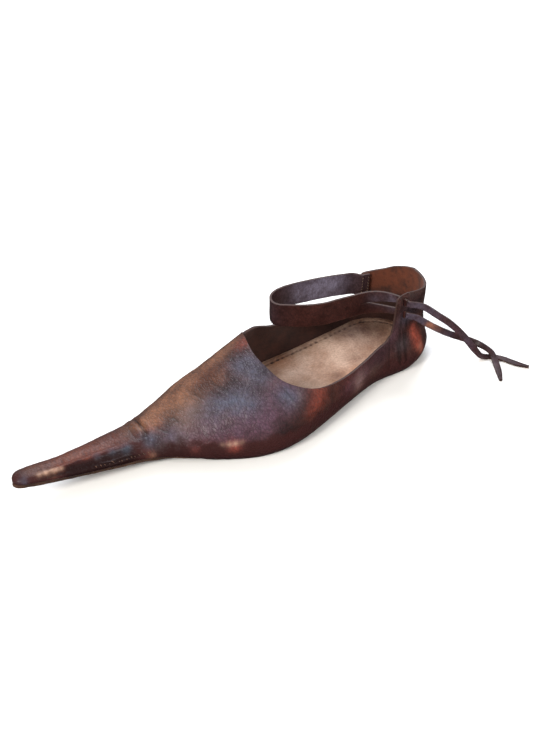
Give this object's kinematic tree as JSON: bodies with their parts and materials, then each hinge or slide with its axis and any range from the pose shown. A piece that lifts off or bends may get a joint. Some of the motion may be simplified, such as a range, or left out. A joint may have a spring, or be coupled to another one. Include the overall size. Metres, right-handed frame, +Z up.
{
  "type": "pointed ankle-strap shoe",
  "caption": "Low-cut leather turnshoe with a long narrow point, high heel back and an ankle strap that splits into tie ends; left foot.",
  "frame": {"origin": "on the floor under the middle of the heel seat, on the sole's flat underside", "axes": "+X toward the point, +Y toward the outer side of the foot, +Z up"},
  "size_m": [0.3766, 0.1264, 0.0707],
  "materials": {
    "sole": "worn, waxed at the edge",
    "upper": "polished dark red-brown, fine grain",
    "insole": "matte flesh side, stained",
    "ankle_strap": "satin dark brown",
    "thongs": "satin dark brown"
  },
  "bodies": {
    "root": {"sole": "sole", "upper": "upper", "insole": "insole", "ankle_strap": "ankle_strap", "thong_upper": "thongs", "thong_lower": "thongs"}
  },
  "joints": []
}
